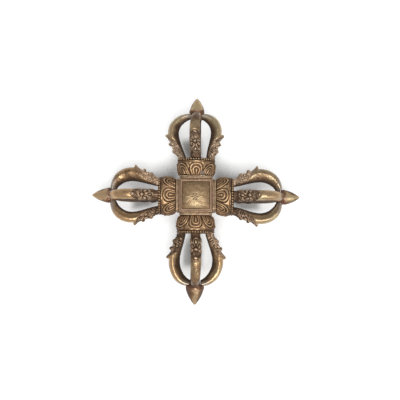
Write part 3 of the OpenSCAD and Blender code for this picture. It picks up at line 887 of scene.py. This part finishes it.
class Finish:
    """A material whose nodes are added by short calls."""

    def __init__(self, name):
        self.material = bpy.data.materials.new(name)
        self.material.use_nodes = True
        self.tree = self.material.node_tree
        self.shader = self.tree.nodes["Principled BSDF"]
        self.place = self.tree.nodes.new("ShaderNodeTexCoord").outputs["Object"]

    def feed(self, socket, value):
        """Links a socket to another, or sets its number or colour."""
        if isinstance(value, bpy.types.NodeSocket):
            self.tree.links.new(value, socket)
        else:
            socket.default_value = value

    def mark(self, name):
        """What the mesh says at each of its points under a name."""
        node = self.tree.nodes.new("ShaderNodeAttribute")
        node.attribute_name = name
        return node.outputs["Fac"]

    def noise(self, size, detail=3.0):
        """Cloudy pattern with spots of about the given size, mostly from 0.3 to 0.7."""
        node = self.tree.nodes.new("ShaderNodeTexNoise")
        self.tree.links.new(self.place, node.inputs["Vector"])
        node.inputs["Scale"].default_value = 1 / (size * MM)
        node.inputs["Detail"].default_value = detail
        node.inputs["Roughness"].default_value = 0.55
        return node.outputs[0]

    def openness(self, distance, way=None):
        """Share of open air within a distance, around the surface's normal or another way."""
        node = self.tree.nodes.new("ShaderNodeAmbientOcclusion")
        node.samples = 12
        node.inputs["Distance"].default_value = distance * MM
        if way:
            tilt = self.tree.nodes.new("ShaderNodeCombineXYZ")
            for socket, part in zip(tilt.inputs, way):
                socket.default_value = part
            self.tree.links.new(tilt.outputs[0], node.inputs["Normal"])
        return node.outputs["AO"]

    def calc(self, operation, first, second=0.0):
        """Sum or other operation on two values, of which some operations need only the first."""
        node = self.tree.nodes.new("ShaderNodeMath")
        node.operation = operation
        self.feed(node.inputs[0], first)
        self.feed(node.inputs[1], second)
        return node.outputs[0]

    def span(self, value, low, high, to_low=0.0, to_high=1.0):
        """Soft step of a value from one range to another."""
        node = self.tree.nodes.new("ShaderNodeMapRange")
        node.interpolation_type = "SMOOTHSTEP"
        self.feed(node.inputs["Value"], value)
        node.inputs["From Min"].default_value = low
        node.inputs["From Max"].default_value = high
        node.inputs["To Min"].default_value = to_low
        node.inputs["To Max"].default_value = to_high
        return node.outputs[0]

    def mix(self, share, first, second):
        """Colour between two others."""
        node = self.tree.nodes.new("ShaderNodeMix")
        node.data_type = "RGBA"
        self.feed(node.inputs[0], share)
        self.feed(node.inputs[6], first)
        self.feed(node.inputs[7], second)
        return node.outputs[2]

    def bump(self, height, strength, distance):
        """Fine unevenness of the surface."""
        node = self.tree.nodes.new("ShaderNodeBump")
        self.feed(node.inputs["Height"], height)
        node.inputs["Strength"].default_value = strength
        node.inputs["Distance"].default_value = distance * MM
        return node.outputs["Normal"]


def old_brass(name, gold, tan, carved, brown, dullness=0.0):
    """Cast brass, rubbed bright on its ridges, brown on the level and dark with dirt in its hollows.

    It reads the marks of a mesh, each from 0 to 1: relief is how bright the metal is rubbed, with painted
    shade and painted highlights in it, smooth how far it is polished rather than carved, braze and film
    what lies on it, and warm how red it is.
    """
    finish = Finish(name)
    relief = finish.mark("relief")
    polished = finish.mark("smooth")
    regions = finish.noise(14.0, detail=1.0)
    patches = finish.noise(4.5)
    spots = finish.noise(0.9, detail=4.0)
    grain = finish.noise(0.25, detail=2.0)
    crevice = finish.span(finish.openness(1.6), 0.05, 0.6)

    # Bright metal, from gold to tan by places and by the warmth of the piece
    patch_tone = finish.span(patches, 0.35, 0.65, -0.2, 0.2)
    region_tone = finish.span(regions, 0.35, 0.65, -0.25, 0.25)
    tone = finish.calc("ADD", finish.calc("ADD", patch_tone, region_tone), finish.mark("warm"))
    bright = finish.mix(finish.span(tone, 0.0, 1.0), linear(gold), linear(tan))
    bright = finish.mix(finish.span(polished, 0.0, 1.0, 0.65, 0.0), bright, linear(carved))

    # Wear on what stands out, with the painted shade and painted highlights that the marks carry, and dirt
    # in the crevices
    wear_and_painted_light = finish.calc("ADD", finish.span(relief, 0.2, 0.75), finish.span(spots, 0.3, 0.7, -0.2, 0.2))
    wear_and_painted_light = finish.span(wear_and_painted_light, 0.05, 0.85)
    colour = finish.mix(wear_and_painted_light, linear(brown), bright)
    clean = finish.calc("MULTIPLY", crevice, finish.span(relief, 0.0, 0.4, 0.3, 1.0))
    dirt = finish.calc("SUBTRACT", 1.0, clean)
    dirt = finish.calc("ADD", dirt, finish.span(spots, 0.3, 0.7, -0.15, 0.15))
    dirt = finish.span(dirt, 0.2, 0.95)
    colour = finish.mix(dirt, colour, linear(DIRT))

    # Reddish braze at the joints, and a grey film of solder or dust
    braze = finish.calc("MULTIPLY", finish.mark("braze"), finish.span(finish.noise(1.4), 0.38, 0.58))
    colour = finish.mix(finish.calc("MULTIPLY", braze, 0.55), colour, linear(BRAZE))
    film = finish.calc("MULTIPLY", finish.mark("film"), finish.span(patches, 0.3, 0.5, 0.4, 0.9))
    colour = finish.mix(film, colour, linear(FILM))

    rough = finish.span(wear_and_painted_light, 0.0, 1.0, 0.56 + dullness, 0.42 + dullness)
    rough = finish.calc("ADD", rough, finish.span(patches, 0.3, 0.7, -0.04, 0.06))
    rough = finish.calc("SUBTRACT", rough, finish.calc("MULTIPLY", polished, 0.09))
    dents = finish.calc("ADD", grain, spots)
    finish.feed(finish.shader.inputs["Base Color"], colour)
    finish.feed(finish.shader.inputs["Metallic"], finish.span(dirt, 0.0, 1.0, 0.8, 0.35))
    finish.feed(finish.shader.inputs["Roughness"], rough)
    finish.feed(finish.shader.inputs["Normal"], finish.bump(dents, strength=0.3, distance=0.06))
    return finish.material


def distance_off_arms(finish):
    """Distance of the ground's points from the nearer of the two lines that the arms lie on, in metres."""
    split = finish.tree.nodes.new("ShaderNodeSeparateXYZ")
    finish.feed(split.inputs[0], finish.place)
    off_east = finish.calc("ABSOLUTE", split.outputs["X"])
    off_north = finish.calc("ABSOLUTE", split.outputs["Y"])
    return finish.calc("MINIMUM", off_east, off_north)


def distance_from_middle(finish):
    """Distance of the ground's points from below the hub's middle, in metres."""
    reach = finish.tree.nodes.new("ShaderNodeVectorMath")
    reach.operation = "LENGTH"
    finish.feed(reach.inputs[0], finish.place)
    return reach.outputs["Value"]


def seen_directly(finish):
    """1 where the camera sees the ground, itself or in metal or glass."""
    path = finish.tree.nodes.new("ShaderNodeLightPath")
    seen = finish.calc("MAXIMUM", path.outputs["Is Camera Ray"], path.outputs["Is Glossy Ray"])
    return finish.calc("MAXIMUM", seen, path.outputs["Is Transmission Ray"])


def floor_finish():
    """White paper, so brightly seen that only the deeper shadows show on it; its glow is painted light,
    taken away as painted shadow about the hub and beside the snouts.
    """
    finish = Finish("white_paper")
    tint = finish.mix(finish.noise(60, detail=1.0), *(linear(code) for code in PAPER))
    finish.feed(finish.shader.inputs["Base Color"], tint)
    finish.shader.inputs["Roughness"].default_value = 0.9
    finish.shader.inputs["Specular IOR Level"].default_value = 0.1

    # Painted light: the glow stays where a probe tilted to the front finds the ground open beside the arms,
    # and a strip along each arm keeps most of it under the cages
    cup_r = CUP_R * MM
    painted_front_light = finish.span(finish.openness(25.0, way=(0.0, -0.5, 0.87)), 0.5, 0.71)
    painted_cage_light = finish.span(distance_off_arms(finish), 1.4 * cup_r, 0.5 * cup_r, 0.0, 0.8)
    painted_light = finish.calc("MAXIMUM", painted_front_light, painted_cage_light)

    # Painted shadow: close to the snouts that rest on it the glow is taken away, and well past them the
    # ground is white
    snouts = (END_FACE + SNOUT_AT) * MM
    painted_snout_shadow = finish.span(finish.openness(8.5, way=(0.55, 0.05, 0.83)), 0.77, 0.95)
    past_snouts = finish.span(distance_from_middle(finish), 1.12 * snouts, 1.27 * snouts)
    painted_light = finish.calc("MULTIPLY", painted_light, finish.calc("MAXIMUM", painted_snout_shadow, past_snouts))

    most_glow = 0.6
    glow = finish.calc("MULTIPLY", finish.calc("MULTIPLY", painted_light, most_glow), seen_directly(finish))
    finish.shader.inputs["Emission Color"].default_value = linear("#ffffff")
    finish.feed(finish.shader.inputs["Emission Strength"], glow)
    return finish.material


# Stage, in metres

def add_floor():
    """White ground that the lowest claws lie on."""
    half = 6.0
    level = -REST_R * MM
    mesh = bpy.data.meshes.new("floor")
    corners = [(-half, -half, level), (half, -half, level), (half, half, level), (-half, half, level)]
    mesh.from_pydata(corners, [], [(0, 1, 2, 3)])
    mesh.materials.append(floor_finish())
    floor = bpy.data.objects.new("floor", mesh)
    bpy.context.scene.collection.objects.link(floor)


def add_lamp(name, place, size, power):
    """Square soft light that faces the object."""
    lamp = bpy.data.lights.new(name, "AREA")
    lamp.shape = "SQUARE"
    lamp.size = size
    lamp.energy = power
    holder = bpy.data.objects.new(name, lamp)
    holder.location = place
    holder.rotation_euler = (-Vector(place)).to_track_quat("-Z", "Y").to_euler()
    bpy.context.scene.collection.objects.link(holder)


def set_world():
    """Pale room that is brightest part of the way up, as under a tent."""
    world = bpy.data.worlds.new("room")
    bpy.context.scene.world = world
    world.use_nodes = True
    tree = world.node_tree
    place = tree.nodes.new("ShaderNodeTexCoord")
    split = tree.nodes.new("ShaderNodeSeparateXYZ")
    ramp = tree.nodes.new("ShaderNodeValToRGB")
    ramp.color_ramp.elements[0].color = linear("#8a8a8b")
    ramp.color_ramp.elements[1].color = linear("#8c8d8e")
    brightest_at = 0.4
    ramp.color_ramp.elements.new(brightest_at).color = linear("#cdcdce")
    tree.links.new(place.outputs["Generated"], split.inputs[0])
    tree.links.new(split.outputs["Z"], ramp.inputs["Fac"])
    tree.links.new(ramp.outputs["Color"], tree.nodes["Background"].inputs["Color"])


def add_camera():
    """Camera nearly straight above, as the photograph was taken."""
    distance = 0.42
    elevation = math.radians(86)
    tilt = math.radians(0.7)
    hub_to_view = Vector((2.78, -2.44, 0)) * MM
    target = Vector(HUB_AT * MM) + hub_to_view
    camera = bpy.data.cameras.new("camera")
    camera.lens = 55.8
    holder = bpy.data.objects.new("camera", camera)
    away = Vector((0, -math.cos(elevation), math.sin(elevation)))
    upright = (-away).to_track_quat("-Z", "Y").to_matrix().to_4x4()
    spin = Matrix.Rotation(tilt, 4, "Z")
    holder.matrix_world = Matrix.Translation(target + distance * away) @ upright @ spin
    bpy.context.scene.collection.objects.link(holder)
    bpy.context.scene.camera = holder


# The object

def add_arm(arm, compass, metals, seed):
    """Collar, pearl ring, spike and four claws of an arm."""
    warmth = WARMTH[arm]
    top = arm_reach(f"claw_{arm}_upper", compass)
    reach = arm_reach(f"spike_{arm}", compass)
    tip_base = top + TIP_PAST_CLAWS
    lean = arm_lean(arm, compass)
    run = SOLDER_RUN if arm == "north" else None
    collar = lotus_collar(compass, seed, run)
    add_piece(f"lotus_collar_{arm}", collar, metals["carved_brass"], warmth)
    pearls = pearl_ring(compass, seed + 10)
    add_piece(f"pearl_ring_{arm}", pearls, metals["carved_brass"], warmth)
    tip = spike(tip_base, reach, tip_radius(arm), compass, TIP_STAINS.get(arm, 0), seed + 20)
    add_piece(f"spike_{arm}", tip, metals["spike_brass"], warmth)
    for place, (side, turn) in enumerate(SIDES.items()):
        claw_seed = seed + 30 + 10 * place
        shape = claw(f"{arm}_{side}", top, math.radians(turn), lean, compass, DUST[arm], claw_seed)
        add_piece(f"claw_{arm}_{side}", shape, metals["claw_brass"], warmth)


def add_object():
    """All the pieces of the object."""
    metals = {name: old_brass(name, **colours) for name, colours in METALS.items()}
    add_piece("hub", hub(SEED), metals["hub_brass"])
    add_piece("boss_upper", boss(1, SEED + 1), metals["boss_brass"])
    add_piece("boss_lower", boss(-1, SEED + 2), metals["boss_brass"])
    for number, (arm, compass) in enumerate(ARMS.items(), start=1):
        add_arm(arm, compass, metals, SEED + 100 * number)


bpy.context.scene.view_settings.view_transform = "Standard"
add_floor()
set_world()
add_lamp("key", place=(0.06, -0.34, 1.02), size=0.5, power=6.0)
add_lamp("fill", place=(0.65, -0.45, 0.6), size=0.4, power=1.4)
add_camera()
add_object()

bpy.context.view_layer.update()
